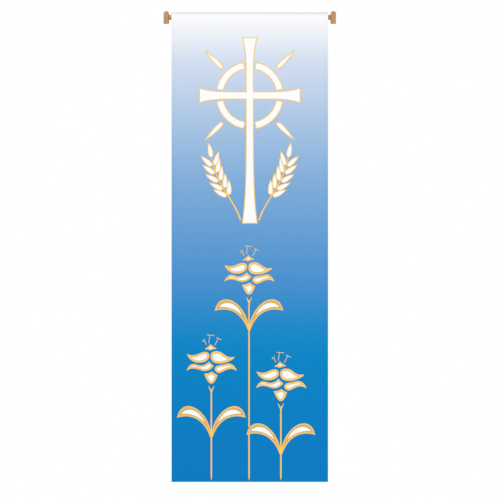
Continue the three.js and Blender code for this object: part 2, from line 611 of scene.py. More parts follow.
def seam_lines(cloth):
    """Where the sewing runs: heights for the level seams, and the distance in from the side edges."""
    return SeamLines(
        pocket_upper=-cloth.pocket_depth - UPPER_SEAM_INSET,
        pocket_lower=-cloth.pocket_depth - cloth.seam_band + LOWER_SEAM_INSET,
        hem=CLOTH_LOW.z + cloth.bottom_hem - UPPER_SEAM_INSET,
        side=cloth.side_hem - SIDE_SEAM_INSET,
    )


def dip(distance, depth=0.3, width=0.5 * MM):
    """How much a seam pulls the cloth thin at a distance from it."""
    return 1.0 - depth * math.exp(-((distance / width) ** 2))


def cloth_rows(cloth, route, seams):
    """Distances along the route where the mesh has a row of corners."""
    panel_start = route.lengths[-2]
    front = [route.total + CLOTH_LOW.z - height for height in seams[:3]]
    behind = [cloth.seam_band - UPPER_SEAM_INSET, LOWER_SEAM_INSET, route.total - cloth.bottom_hem]
    return thinned(
        edge_ticks(0.0, 1, cloth.thickness)
        + edge_ticks(route.total, -1, cloth.thickness)
        + ticks(0.0, cloth.seam_band, TAIL_STEP)
        + ticks(cloth.seam_band, panel_start, ROUTE_STEP * 2)
        + ticks(panel_start, route.total, PANEL_STEP)
        + fine_ticks(*front, *behind)
    )


def cloth_columns(cloth, seams):
    """Places across the cloth where the mesh has a column of corners."""
    edge = CLOTH_WIDTH / 2
    right = edge_ticks(edge, -1, cloth.thickness) + fine_ticks(edge - cloth.side_hem, edge - seams.side)
    return thinned(ticks(-edge, edge, COLUMN_STEP) + right + [-x for x in right])


def pinch_at(cloth, seams, station, inset):
    """How thin the seams pull the cloth, as a share of its thickness."""
    if station.part == TAIL:
        upper = station.distance - cloth.seam_band + UPPER_SEAM_INSET
        return dip(upper) * dip(station.distance - LOWER_SEAM_INSET)
    if station.part == PANEL:
        height = station.point.y
        pocket = dip(height - seams.pocket_upper) * dip(height - seams.pocket_lower)
        return dip(inset - seams.side) * pocket * dip(height - seams.hem)
    return 1.0


def cloth_faces(cloth, seams, station, inset):
    """Where the printed face and the reverse lie at a station, so far in from the side edge."""
    thickness = cloth.thickness
    tail_end = cloth.seam_band
    side = 1.0 - smooth_step(cloth.side_hem - TURN_BEFORE, cloth.side_hem + TURN_AFTER, inset)
    hem = smooth_step(cloth.bottom_hem + TURN_AFTER, cloth.bottom_hem - TURN_BEFORE, station.along)
    tail = 1.0 - smooth_step(tail_end - TAIL_RAMP, tail_end, station.distance)
    full = thickness * (1.0 + side + 2.0 * hem + tail)
    stacked = 1.0 if station.part == TAIL else 0.0
    if station.part == REAR:
        stacked = max(0.0, 1.0 - (station.distance - tail_end) / cloth.pocket_depth)
    lift = 2.0 * side * stacked * thickness
    full_share = math.prod(rounded(d, thickness) for d in (inset, station.distance, station.along))
    half = max(THINNEST_HALF, full / 2 * full_share * pinch_at(cloth, seams, station, inset))
    middle = station.point + station.inward * (full / 2 - lift)
    return middle - station.inward * half, middle + station.inward * half


def cloth_mesh(cloth):
    """The cloth as one closed sheet, with its pocket, seam band, side hems and bottom hem."""
    route = Route(cloth)
    seams = seam_lines(cloth)
    columns = cloth_columns(cloth, seams)
    half_width = CLOTH_WIDTH / 2
    build = bmesh.new()
    uv_layer = build.loops.layers.uv.new(CUT_UV)
    reverse_layer = build.verts.layers.float.new(REVERSE)
    outer, inner = [], []
    cut_place = {}
    for row in cloth_rows(cloth, route, seams):
        station = route.station(row)
        outer.append([])
        inner.append([])
        for x in columns:
            places = cloth_faces(cloth, seams, station, half_width - abs(x))
            for layer, (grid, place) in enumerate(zip((outer, inner), places)):
                corner = build.verts.new((x, place.x, place.y))
                corner[reverse_layer] = float(layer)
                cut_place[corner] = (x + half_width, station.along)
                grid[-1].append(corner)

    def quad(*corners):
        face = build.faces.new(corners)
        for loop in face.loops:
            loop[uv_layer].uv = cut_place[loop.vert]

    last_row = len(outer) - 1
    last_column = len(columns) - 1
    for r in range(last_row):
        for c in range(last_column):
            quad(outer[r][c], outer[r][c + 1], outer[r + 1][c + 1], outer[r + 1][c])
            quad(inner[r][c], inner[r + 1][c], inner[r + 1][c + 1], inner[r][c + 1])
        for c in (0, last_column):
            quad(outer[r][c], outer[r + 1][c], inner[r + 1][c], inner[r][c])
    for r in (0, last_row):
        for c in range(last_column):
            quad(outer[r][c], inner[r][c], inner[r][c + 1], outer[r][c + 1])
    bmesh.ops.recalc_face_normals(build, faces=build.faces[:])
    return mesh_of(build, CLOTH_EDGE)


# Embroidery. A band has two edges, and a satin line is a spine with stitches across it


Band = namedtuple("Band", "left right")
End = namedtuple("End", "share mitre overrun")
PLAIN_END = End(1.0, None, 0.0)
Satin = namedtuple(
    "Satin",
    "spine half_start half_end start end inward outline",
    defaults=(PLAIN_END, PLAIN_END, 0.0, None),
)
Face = namedtuple("Face", "y out")
Shape = namedtuple("Shape", "over under border")
Stroke = namedtuple("Stroke", "start end half half_end", defaults=(1.2, None))
LilyPlace = namedtuple("LilyPlace", "name stem_x calyx_z leaf_z hidden_stem")

# Sizes of the drawn shapes, in mm
ORNAMENT_BORDER = 1.9
STEM_HALF = 2.9
STEM_FOOT_Z = -1803.0
STEM_POINT = 12.0
STEM_TIP_HALF = STEM_HALF * 0.2
PETAL_INWARD = 1.0
PETAL_EDGING = 0.8

# How lines and borders are worked
CURVE_STEPS = 24
CORNER_TURN = math.radians(50)
BLUNT_TURN = math.radians(120)
SHARPEST_SHARE = 0.15
FEWEST_STITCHES = 3
TAPER = 8 * MM
OVERRUN = 1.3
SHORTEST_STITCH = 0.4 * MM
MITRE_OVERLAP = 0.6 * MM
OUTLINE_STEP = 0.5 * MM
CUT_STEP = 0.25 * MM

LILIES = (
    LilyPlace("lily_left", -150.0, -1429.0, -1636.0, None),
    LilyPlace("lily_middle", -3.0, -1082.0, -1219.5, (-1597.0, -1624.0)),
    LilyPlace("lily_right", 121.0, -1497.0, -1703.0, None),
)

# Each edge is a chain of curves: knot, pull, pull, knot and so on, in mm from the calyx's foot.
# The border is the half width of the satin line along both edges, also in mm.
TOP_PETAL = Shape(
    over=((-27, 136), (-17, 139), (-9, 147), (-3, 154), (3, 148), (11, 143), (20, 139)),
    under=((-27, 136), (-18, 137), (-10, 136), (-5, 132), (1, 135), (10, 138), (20, 139)),
    border=2.1,
)
UPPER_LEFT_PETAL = Shape(
    over=((-10, 110), (-10, 122), (-22, 126), (-38, 120), (-54, 114), (-68, 104), (-92, 114)),
    under=((-10, 110), (-10, 97), (-26, 87), (-42, 86), (-64, 84), (-80, 92), (-92, 114)),
    border=3.6,
)
UPPER_RIGHT_PETAL = Shape(
    over=((3, 120), (12, 127), (27, 129), (42, 118), (57, 107), (68, 97), (89, 104)),
    under=((3, 120), (-3, 108), (-2, 88), (20, 84), (42, 80), (66, 87), (89, 104)),
    border=3.8,
)
LOWER_LEFT_PETAL = Shape(
    over=((-9, 86), (-16, 79), (-27, 70), (-43, 71), (-60, 72), (-77, 92), (-95, 53)),
    under=(
        *((-9, 86), (-4, 79), (1, 76), (7, 71), (-1, 59)),
        *((-18, 49), (-35, 54), (-54, 60), (-78, 70), (-95, 53)),
    ),
    border=2.7,
)
LOWER_RIGHT_PETAL = Shape(
    over=((15, 58), (16, 69), (28, 71), (44, 73), (60, 75), (78, 90), (97, 54)),
    under=((15, 58), (17, 50), (26, 42), (37, 47), (52, 54), (76, 71), (97, 54)),
    border=3.3,
)
CALYX = Shape(
    over=((-24, 38), (-14, 38), (-6, 41), (2, 46), (8, 41), (14, 37), (21, 34)),
    under=((-24, 38), (-18, 20), (-8, 4), (0, 4), (8, 4), (15, 16), (21, 34)),
    border=3.6,
)
FLOWER = (TOP_PETAL, UPPER_LEFT_PETAL, UPPER_RIGHT_PETAL, LOWER_LEFT_PETAL, LOWER_RIGHT_PETAL, CALYX)
STAMENS = (
    Stroke((-10, 160), (-5.5, 190)),
    Stroke((-16, 192), (12, 189)),
    Stroke((-19, 153), (-28, 171)),
    Stroke((-34, 166), (-25, 175)),
    Stroke((14, 152), (26.5, 177)),
    Stroke((20, 181), (39, 173)),
)
FORK = Stroke((1.2, -27), (11, -8), 3.4, 0.6)

# In mm from where the leaves leave the stem
LEAF = Shape(
    over=((0, -6), (8, 111), (113, 159), (130.5, 79.5)),
    under=((0, -6), (22, 63), (68, 95.5), (130.5, 79.5)),
    border=2.3,
)
LEAF_WHITE = Shape(
    over=((22, 50), (40, 106), (90, 126), (121, 90)),
    under=((22, 50), (42, 77), (79, 94), (121, 90)),
    border=1.3,
)


def flat(pair, sign=1.0):
    """A drawn place in mm, or its mirror image, in the cloth's metres."""
    return Vector((pair[0] * sign, pair[1])) * MM


def bezier(start, pull_a, pull_b, end, share):
    rest = 1.0 - share
    near = start * rest**3 + pull_a * 3 * rest**2 * share
    return near + pull_b * 3 * rest * share**2 + end * share**3


def chain(points):
    """The points along a chain of curves."""
    line = [points[0]]
    for k in range(0, len(points) - 1, 3):
        line += [bezier(*points[k : k + 4], i / CURVE_STEPS) for i in range(1, CURVE_STEPS + 1)]
    return line


def line_length(line):
    return sum((b - a).length for a, b in zip(line, line[1:]))


def even(line, count):
    """A line again, with its points evenly apart."""
    lengths = running_lengths(line)
    points = []
    k = 0
    for i in range(count + 1):
        along = lengths[-1] * i / count
        while k < len(line) - 2 and lengths[k + 1] < along:
            k += 1
        share = (along - lengths[k]) / max(1e-9, lengths[k + 1] - lengths[k])
        points.append(line[k].lerp(line[k + 1], min(1.0, share)))
    return points


def side_ways(spine):
    """A unit vector to the left of the spine at each of its points."""
    ways = []
    for i in range(len(spine)):
        ahead = spine[min(i + 1, len(spine) - 1)] - spine[max(i - 1, 0)]
        ahead.normalize()
        ways.append(Vector((-ahead.y, ahead.x)))
    return ways


def line_band(spine, halves):
    """The two edges of a line with a half width at each of its points."""
    ways = side_ways(spine)
    left = [p + way * half for p, way, half in zip(spine, ways, halves)]
    right = [p - way * half for p, way, half in zip(spine, ways, halves)]
    return Band(left, right)


def shape_band(shape, at, sign=1.0, heading=0.0):
    """A shape's two edges where it lies on the cloth."""
    edges = (shape.over, shape.under)
    return Band(*(chain([at + turned(flat(p, sign), heading) for p in edge]) for edge in edges))


def turned(point, angle):
    c, s = math.cos(angle), math.sin(angle)
    return Vector((point.x * c - point.y * s, point.x * s + point.y * c))


def turn_of(a, b):
    """More than nothing where the way b lies to the left of the way a."""
    return a.x * b.y - a.y * b.x


def corner_end(before, point, after, half, inward):
    """How a border ends at a point of an outline, or None where the outline is smooth there."""
    first = (point - before).normalized()
    second = (after - point).normalized()
    turn = abs(math.atan2(turn_of(first, second), first.dot(second)))
    if turn < CORNER_TURN:
        return None
    share = min(1.0, max(SHARPEST_SHARE, (math.pi - turn) / (math.pi - BLUNT_TURN)))
    overrun = min(half * share * math.tan(turn / 2), OVERRUN * half) if inward < half else 0.0
    return End(share, (second - first).normalized(), overrun)


def borders(band, half, inward=0.0):
    """Satin borders along a band's outline, cut to a mitre at its corners and moved inward, in mm."""
    half, inward = half * MM, inward * MM
    outline = band.left + band.right[-2:0:-1]
    count = len(outline)
    if sum(turn_of(outline[i - 1], outline[i]) for i in range(count)) < 0.0:
        outline.reverse()
    ends = [
        corner_end(outline[i - 1], outline[i], outline[(i + 1) % count], half, inward)
        for i in range(count)
    ]
    corners = [i for i in range(count) if ends[i]]
    sides = near_points(outline + outline[:1])
    made = []
    for i, j in zip(corners, corners[1:] + [corners[0] + count]):
        spine = [outline[n % count] for n in range(i, j + 1)]
        made.append(Satin(spine, half, half, ends[i], ends[j % count], inward, sides))
    return made


def near_points(line):
    """Points along a line, in a tree that finds the nearest one."""
    points = even(line, math.ceil(line_length(line) / OUTLINE_STEP))
    tree = KDTree(len(points))
    for i, point in enumerate(points):
        tree.insert(point.to_3d(), i)
    tree.balance()
    return tree


def cut_rung(rung, corner, mitre, kept):
    """A stitch's two ends, cut where it crosses a mitre line; kept is a point on the side that stays."""
    a, b = rung
    side = math.copysign(1.0, turn_of(mitre, kept - corner))
    at_a, at_b = (turn_of(mitre, p - corner) * side + MITRE_OVERLAP for p in rung)
    if at_a < 0.0 and at_b < 0.0:
        return None
    crossing = a.lerp(b, at_a / (at_a - at_b)) if at_a * at_b < 0.0 else None
    return (crossing if at_a < 0.0 else a, crossing if at_b < 0.0 else b)


def stitch_spine(satin, pitch):
    """Places for the stitches along a spine, their step, and how many lie beyond each of its ends."""
    total = line_length(satin.spine)
    count = max(FEWEST_STITCHES, round(total / pitch))
    step = total / count
    spine = even(satin.spine, count)
    backward = (spine[0] - spine[1]).normalized() * step
    forward = (spine[-1] - spine[-2]).normalized() * step
    before, after = (math.ceil(end.overrun / step) for end in (satin.start, satin.end))
    spine = (
        [spine[0] + backward * k for k in range(before, 0, -1)]
        + spine
        + [spine[-1] + forward * k for k in range(1, after + 1)]
    )
    return spine, step, before, after


def inner_reach(outline, point, way, outer, inner):
    """How far in a stitch can go before it lies nearer to another side of its outline."""
    while outline and inner > outer:
        if outline.find((point + way * inner).to_3d())[2] > inner - MITRE_OVERLAP:
            break
        inner -= CUT_STEP
    return inner


def rungs_of(satin, pitch):
    """The two ends of each of a satin line's stitches, a pitch apart."""
    spine, step, before, after = stitch_spine(satin, pitch)
    total = line_length(satin.spine)
    taper = min(TAPER, total / 2)
    rungs = []
    for i, (point, way) in enumerate(zip(spine, side_ways(spine))):
        along = (i - before) * step
        share = min(1.0, max(0.0, along / total))
        half = satin.half_start + (satin.half_end - satin.half_start) * share
        outer = satin.inward - half
        inner = inner_reach(satin.outline, point, way, outer, satin.inward + half)
        if inner <= outer:
            continue
        rung = (point + way * inner, point + way * outer)
        for end, corner, distance, kept in (
            (satin.start, satin.spine[0], along, spine[before + 1]),
            (satin.end, satin.spine[-1], total - along, spine[-after - 2]),
        ):
            full = min(1.0, max(0.0, distance / taper))
            trim = (1.0 - end.share) * (1.0 - full) / 2
            rung = rung and (rung[0], rung[1].lerp(rung[0], trim))
            if rung and end.mitre and distance < 2 * half:
                rung = cut_rung(rung, corner, end.mitre, kept)
        if rung and (rung[0] - rung[1]).length > SHORTEST_STITCH:
            rungs.append(rung)
    return rungs


class Motif:
    """What one motif is worked in: white areas, old gold areas and lines, and gold lines."""

    def __init__(self, name):
        self.name = name
        self.white = []
        self.crest = []
        self.body = []
        self.lines = []
        self.edging = []

    def add_shape(self, shape, at, heading=0.0, inward=0.0):
        """A white area with a gold border."""
        band = shape_band(shape, at, heading=heading)
        self.white.append(band)
        self.lines += borders(band, shape.border, inward)
        return band

    def add_petal(self, shape, at):
        """A white area with a gold border and an old gold line inside it."""
        band = self.add_shape(shape, at, inward=PETAL_INWARD)
        self.edging += borders(band, PETAL_EDGING, PETAL_INWARD + shape.border + PETAL_EDGING / 2)

    def add_line(self, spine, half, half_end=None):
        """A gold line of a half width in mm, or of one that changes towards its end."""
        self.lines.append(Satin(spine, half * MM, (half_end or half) * MM))

    def add_stroke(self, stroke, at, sign=1.0):
        ends = [at + flat(p, sign) for p in (stroke.start, stroke.end)]
        self.add_line(ends, stroke.half, stroke.half_end)


def lily(place):
    """A lily on its stem, with a pair of leaves."""
    motif = Motif(place.name)
    flower = flat((place.stem_x, place.calyx_z))
    node = flat((place.stem_x, place.leaf_z))
    for shape in FLOWER:
        motif.add_petal(shape, flower)
    for stroke in STAMENS:
        motif.add_stroke(stroke, flower)
    for sign in (1.0, -1.0):
        motif.add_stroke(FORK, flower, sign)
    for sign in (1.0, -1.0):
        leaf, white = (shape_band(shape, node, sign) for shape in (LEAF, LEAF_WHITE))
        motif.body.append(leaf)
        motif.crest.append(white)
        motif.lines += borders(leaf, LEAF.border)
        motif.edging += borders(white, LEAF_WHITE.border)
    add_stem(motif, place)
    return motif


def add_stem(motif, place):
    """The stem down to its pointed foot, left out where another lily's leaf covers it."""
    ends = [place.calyx_z + FORK.start[1], *(place.hidden_stem or ()), STEM_FOOT_Z + STEM_POINT]
    for high, low in zip(ends[::2], ends[1::2]):
        motif.add_line([flat((place.stem_x, z)) for z in (high, low)], STEM_HALF)
    point = [flat((place.stem_x, z)) for z in (ends[-1], STEM_FOOT_Z)]
    motif.add_line(point, STEM_HALF, STEM_TIP_HALF)


# The ornament over the lilies: a ringed cross with rays, between two ears of wheat. Sizes in mm


Arm = namedtuple("Arm", "angle reach")

CROSSING_Z = -304.0
BAR_HALF = 14.0
FLARE_HALF = 29.0
FLARE_POWER = 5.0
RING_RADIUS = 118.0
RING_HALF = 13.0
RING_GAP = 8.0
RAY_START = 150.0
ARMS = (Arm(0, 196.0), Arm(90, 225.0), Arm(180, 196.0), Arm(270, 498.0))
ARM_STEPS = 40
END_OVERLAP = 1.5
BAND_END_OVERLAP = ORNAMENT_BORDER * 0.8
STALK = ((36, -486), (64, -400), (132, -350), (150, -240))
STALK_HALVES = (3.4, 1.8)
STALK_STEPS = 80
GRAIN_PAIRS = 5
GRAIN_SPACING = 33.0
GRAIN_LEAN = math.radians(32)
GRAIN_OFFSET = 6.0


def pod(belly, belly_at, length, border):
    """A pointed oval on its foot, with two like sides."""
    over = ((0, 0), (belly[0], 0), (belly[1], belly_at), (0, length))
    return Shape(over, tuple((-x, y) for x, y in over), border)


RAY = pod((11, 12), 34, 96, 1.9)
GRAIN = pod((12, 12), 28, 56, 1.5)


def arm_half(distance, reach):
    """An arm's half width at a distance from the crossing, which flares towards its end."""
    return BAR_HALF + (FLARE_HALF - BAR_HALF) * (distance / reach) ** FLARE_POWER


def arm_line(centre, arm, ways, across):
    """A line along an arm, with its distance from the arm's middle given for each of its points."""
    angle = math.radians(arm.angle)
    return [centre + turned(flat(pair), angle) for pair in zip(ways, across)]


def add_cross(motif, centre):
    """Four arms that meet in the middle; the upright passes over the crossbar."""
    for arm in ARMS:
        ways = spread(0.0 if arm.angle % 180 else BAR_HALF, arm.reach, ARM_STEPS)
        middle = arm_line(centre, arm, ways, [0.0] * len(ways))
        motif.white.append(line_band(middle, [arm_half(way, arm.reach) * MM for way in ways]))
        ways = spread(BAR_HALF, arm.reach, ARM_STEPS)
        for side in (1, -1):
            edge = arm_line(centre, arm, ways, [side * arm_half(way, arm.reach) for way in ways])
            motif.add_line(edge, ORNAMENT_BORDER)
        corner = FLARE_HALF + END_OVERLAP
        motif.add_line(arm_line(centre, arm, [arm.reach] * 2, [corner, -corner]), ORNAMENT_BORDER)


def round_the_centre(centre, radius, angle):
    return centre + flat((radius * math.cos(angle), radius * math.sin(angle)))


def add_ring(motif, centre):
    """Four curved bands that seem to pass behind the cross, and a ray beyond each of them."""
    clear = math.asin((BAR_HALF + RING_GAP) / RING_RADIUS)
    reach = RING_HALF + BAND_END_OVERLAP
    for quarter in range(4):
        begin = quarter * math.pi / 2 + clear
        end = (quarter + 1) * math.pi / 2 - clear
        angles = spread(begin, end, CURVE_STEPS)
        edges = [
            [round_the_centre(centre, RING_RADIUS + half, angle) for angle in angles]
            for half in (RING_HALF, -RING_HALF)
        ]
        motif.white.append(Band(*edges))
        for edge in edges:
            motif.add_line(edge, ORNAMENT_BORDER)
        for angle in (begin, end):
            ends = [round_the_centre(centre, RING_RADIUS + r, angle) for r in (-reach, reach)]
            motif.add_line(ends, ORNAMENT_BORDER)
        heading = (quarter + 0.5) * math.pi / 2
        motif.add_shape(RAY, round_the_centre(centre, RAY_START, heading), heading - math.pi / 2)


def add_wheat(motif, centre, sign):
    """An ear of wheat on a curved stalk, with its grains in pairs but for the one at its tip."""
    spine = even(chain([centre + flat(p, sign) for p in STALK]), STALK_STEPS)
    motif.add_line(spine, *STALK_HALVES)
    step_length = line_length(spine) / STALK_STEPS
    for pair in range(GRAIN_PAIRS + 1):
        i = STALK_STEPS - round(pair * GRAIN_SPACING * MM / step_length)
        ahead = spine[i] - spine[i - 1]
        heading = math.atan2(ahead.y, ahead.x) - math.pi / 2
        for side in (1, -1) if pair else (0,):
            foot = spine[i] + turned(flat((-side * GRAIN_OFFSET, 0)), heading)
            motif.add_shape(GRAIN, foot, heading + side * GRAIN_LEAN)


def ornaments():
    centre = flat((0.0, CROSSING_Z))
    cross = Motif("ringed_cross")
    add_cross(cross, centre)
    add_ring(cross, centre)
    wheat = Motif("wheat_ears")
    for sign in (1, -1):
        add_wheat(wheat, centre, sign)
    return [cross, wheat]


def motifs():
    """All that is embroidered on the banner."""
    return [lily(place) for place in LILIES] + ornaments()


# Stitched areas and lines as meshes


DOME = (-1.0, -0.9, -0.64, -0.32, 0.0, 0.32, 0.64, 0.9, 1.0)
PLAIN_DOME = (-1.0, -0.7, -0.3, 0.3, 0.7, 1.0)
BOBBIN_COLUMN = 2
FULL_HALF = 3.0 * MM
SINK = 0.1 * MM
ROW_PITCH = 1.5 * MM
ROW_PROFILE = (0.0, 1.0, 0.85)
ROW_DEPTH = 0.2 * MM
FEWEST_RINGS = 6
NEEDLE_EVERY = 3
NEEDLE_CREST = 0.45
PADDING_EVERY = 3
THREAD_FLATNESS = 0.45
THREAD_SHARP = math.radians(85)
SEAM_RISE = 0.22 * MM
SEAM_DIP = 0.06 * MM
SEAM_END_INSET = 4 * MM
SIDE_SEAM_TOP = 6 * MM
SIDE_SEAM_FOOT = 3 * MM

# Heights as shares of the fill's or the border's rise, and pitches as shares of the pitch
BORDER_LIFT = 0.8
EDGING_LIFT = 1.3
CREST_LIFT = 0.8
CREST_RISE = 0.6
PADDING_RISE = 0.8
EDGING_PITCH = 1.25
BACK_LIFT = 0.1 * MM


def dome_places(dome, lift, rise, fullness, ring, rows):
    """Shares of a strip's half width and heights over the cloth, across the strip and back under it."""
    places = []
    row, phase = divmod(ring, len(ROW_PROFILE))
    for k, c in enumerate(dome):
        height = lift + rise * fullness * math.sqrt(1.0 - c**4)
        if rows:
            crest = ROW_PROFILE[phase] * (NEEDLE_CREST if (k + row) % NEEDLE_EVERY == 0 else 1.0)
            height -= ROW_DEPTH * fullness * (1.0 - crest) * (1.0 - c**4)
        places.append((c, height))
    return places + [(1.0, -SINK), (-1.0, -SINK)]


def loft(build, band, face, lift, rise, index=0, middle_index=None, rows=False):
    """A low domed strip between two edges, closed underneath, on a face of the cloth.

    Rows of thread run from edge to edge, with the needle's marks staggered from row to row.
    """
    uv_layer = build.loops.layers.uv.verify()
    left, right = band
    total = line_length([(a + b) / 2 for a, b in zip(left, right)])
    count = max(len(left), len(right)) - 1
    if rows:
        count = max(FEWEST_RINGS, len(ROW_PROFILE) * round(total / ROW_PITCH))
    if rows or len(left) != len(right):
        left, right = even(left, count), even(right, count)
    rings = []
    thread_place = {}
    for i, (a, b) in enumerate(zip(left, right)):
        half = (a - b).length / 2
        if half < SHORTEST_STITCH / 2:
            continue
        fullness = min(1.0, half / FULL_HALF)
        rings.append([])
        for c, height in dome_places(DOME if rows else PLAIN_DOME, lift, rise, fullness, i, rows):
            place = a.lerp(b, (c + 1.0) / 2)
            corner = build.verts.new((place.x, face.y + face.out * height, place.y))
            thread_place[corner] = (total * i / count, c * half)
            rings[-1].append(corner)
    faces = bridge(build, rings)
    for n, made in enumerate(faces):
        in_middle = middle_index is not None and n % len(rings[0]) == BOBBIN_COLUMN
        made.material_index = middle_index if in_middle else index
        for loop in made.loops:
            loop[uv_layer].uv = thread_place[loop.vert]
    bmesh.ops.recalc_face_normals(build, faces=faces)


TREE_INPUTS = {
    "Geometry": "Geometry",
    "Thread": "Float",
    "Rise": "Float",
    "Full Half": "Float",
    "Slant": "Float",
    "Outward": "Vector",
    "Seed": "Int",
    "Material": "Material",
}
RIDGE_UP = (0.0, 0.0, math.radians(30))
LEAN_WOBBLE = 0.05
LONGEST_STRETCH = 2.06
SHORTEST_STRETCH = 1.94


def stitch_bow(graph, given):
    """The mesh of one stitch: a three-sided thread one unit long, which bows outwards."""
    peak = graph.joined(0.0, 0.0, given["Rise"] * (2.0 / THREAD_FLATNESS))
    bow = graph.node(
        "GeometryNodeCurveQuadraticBezier",
        inputs={"Resolution": 3, "Start": (-0.5, 0.0, 0.0), "Middle": peak, "End": (0.5, 0.0, 0.0)},
    )
    section = graph.node(
        "GeometryNodeCurvePrimitiveCircle",
        {"mode": "RADIUS"},
        {"Resolution": 3, "Radius": given["Thread"] / 2.0},
    )
    section = graph.node("GeometryNodeTransform", inputs={"Geometry": section, "Rotation": RIDGE_UP})
    return graph.node(
        "GeometryNodeCurveToMesh", inputs={"Curve": bow, "Profile Curve": section, "Fill Caps": True}
    )


def stitch_turn(graph, given, reach):
    """A stitch's turn: along its reach, out of the cloth, and with its lean."""
    facing = graph.node(
        "FunctionNodeAxesToRotation",
        {"primary_axis": "Z", "secondary_axis": "X"},
        {0: given["Outward"], 1: reach},
    )
    wobble = graph.random(-LEAN_WOBBLE, LEAN_WOBBLE, given["Seed"])
    lean_angles = graph.joined(0.0, 0.0, given["Slant"] + wobble)
    lean = graph.node("FunctionNodeEulerToRotation", inputs={0: lean_angles})
    return graph.node(
        "FunctionNodeRotateRotation", {"rotation_space": "LOCAL"}, {"Rotation": facing, "Rotate By": lean}
    )


def stitch_tree():
    """Geometry nodes that lay a thread at each point, as far to both sides as the point's reach says."""
    tree = bpy.data.node_groups.new("stitches", "GeometryNodeTree")
    for name, kind in TREE_INPUTS.items():
        tree.interface.new_socket(name, in_out="INPUT", socket_type="NodeSocket" + kind)
    tree.interface.new_socket("Geometry", in_out="OUTPUT", socket_type="NodeSocketGeometry")
    graph = Graph(tree)
    entry = tree.nodes.new("NodeGroupInput")
    given = {name: Wire(graph, entry.outputs[name]) for name in TREE_INPUTS}
    reach = graph.node("GeometryNodeInputNamedAttribute", {"data_type": "FLOAT_VECTOR"}, {"Name": REACH})
    half = graph.node("ShaderNodeVectorMath", {"operation": "LENGTH"}, {0: reach}, output=1)
    fullness = (half / given["Full Half"]).math("MINIMUM", 1.0)
    stretch = graph.random(SHORTEST_STRETCH, LONGEST_STRETCH, given["Seed"] + 1.0)
    stitches = graph.node(
        "GeometryNodeInstanceOnPoints",
        inputs={
            "Points": given["Geometry"],
            "Instance": stitch_bow(graph, given),
            "Rotation": stitch_turn(graph, given, reach),
            "Scale": graph.joined(half * stretch, 1.0, fullness * THREAD_FLATNESS),
        },
    )
    solid = graph.node("GeometryNodeRealizeInstances", inputs={"Geometry": stitches})
    smooth = graph.node("GeometryNodeSetShadeSmooth", inputs={"Geometry": solid})
    dyed = graph.node("GeometryNodeSetMaterial", inputs={"Geometry": smooth, "Material": given["Material"]})
    leaving = tree.nodes.new("NodeGroupOutput")
    graph.plug(leaving.inputs["Geometry"], dyed)
    return tree


def stitch_plan(thread, rise, full_half, slant, seed):
    """What a seam's or a border's stitches have in common, by the names of the tree's inputs."""
    return {"Thread": thread, "Rise": rise, "Full Half": full_half, "Slant": slant, "Seed": seed}


def stitched_mesh(rungs, face, plan, material):
    """A mesh of stitches on a face of the cloth, each from one end of its rung to the other."""
    tree = bpy.data.node_groups.get("stitches") or stitch_tree()
    points = bpy.data.meshes.new("stitch_points")
    points.from_pydata([((a.x + b.x) / 2, face.y, (a.y + b.y) / 2) for a, b in rungs], [], [])
    reach = points.attributes.new(REACH, "FLOAT_VECTOR", "POINT")
    for item, (a, b) in zip(reach.data, rungs):
        item.vector = ((a.x - b.x) / 2, 0.0, (a.y - b.y) / 2)
    worker = placed("stitch_points", points)
    modifier = worker.modifiers.new("stitches", "NODES")
    modifier.node_group = tree
    values = {**plan, "Outward": (0.0, face.out, 0.0), "Material": material}
    for item in tree.interface.items_tree:
        if item.in_out == "INPUT" and item.name in values:
            modifier[item.identifier] = values[item.name]
    mesh = evaluated_mesh(worker)
    bpy.data.objects.remove(worker)
    bpy.data.meshes.remove(points)
    return mesh


def add_mesh(build, mesh, material_index):
    """Adds a mesh to what is being built, with its own material index, and removes the mesh."""
    before = len(build.faces)
    build.from_mesh(mesh)
    build.faces.ensure_lookup_table()
    for face in build.faces[before:]:
        face.material_index = material_index
        face.smooth = True
    bpy.data.meshes.remove(mesh)


def seam(start, end, thread):
    """The two ends of each stitch of a straight seam."""
    count = round((end - start).length / thread.seam_pitch)
    reach = (end - start).normalized() * thread.seam_stitch / 2
    middles = [start.lerp(end, i / count) for i in range(count + 1)]
    return [(middle + reach, middle - reach) for middle in middles]


# Woodwork


ROUND_SIDES = 64
ROD_EASE = 1.5 * MM
SHOULDER_LENGTH = 5 * MM
SHOULDER_STEPS = 8
SOCKET_GAP = 0.3 * MM
SOCKET_CLEAR = 2 * MM
BLOCK_BEVEL = ((1.0, 0.0), (0.35, 0.25), (0.0, 1.0))
BEVEL_SIZE = 0.8 * MM
BLOCK_EDGE = math.radians(50)
BROW_STEPS = 14
CORNER_STEPS = 6
NARROWEST_HALF = 0.5 * MM


def turned_mesh(profile):
    """A round bar along X through radii and distances along it."""
    rings = [[(along, *pair) for pair in circle(radius, ROUND_SIDES)] for radius, along in profile]
    return ringed_mesh(rings)


def rod_mesh(wood):
    """A turned rod: a thick body in the pocket and a thinner neck at each end."""
    neck = wood.neck_radius
    shoulder = CLOTH_HIGH.x - wood.rod_inset - SHOULDER_LENGTH
    profile = [(ROD_RADIUS, shoulder)]
    for i in range(1, SHOULDER_STEPS + 1):
        fullness = 0.5 + 0.5 * math.cos(math.pi * i / SHOULDER_STEPS)
        radius = neck + (ROD_RADIUS - neck) * fullness
        profile.append((radius, shoulder + SHOULDER_LENGTH * i / SHOULDER_STEPS))
    profile += [(neck, ROD_HIGH.x - ROD_EASE), (neck - ROD_EASE, ROD_HIGH.x)]
    mirrored = [(radius, -along) for radius, along in reversed(profile)]
    return turned_mesh(mirrored + [(ROD_RADIUS, 0.0)] + profile)


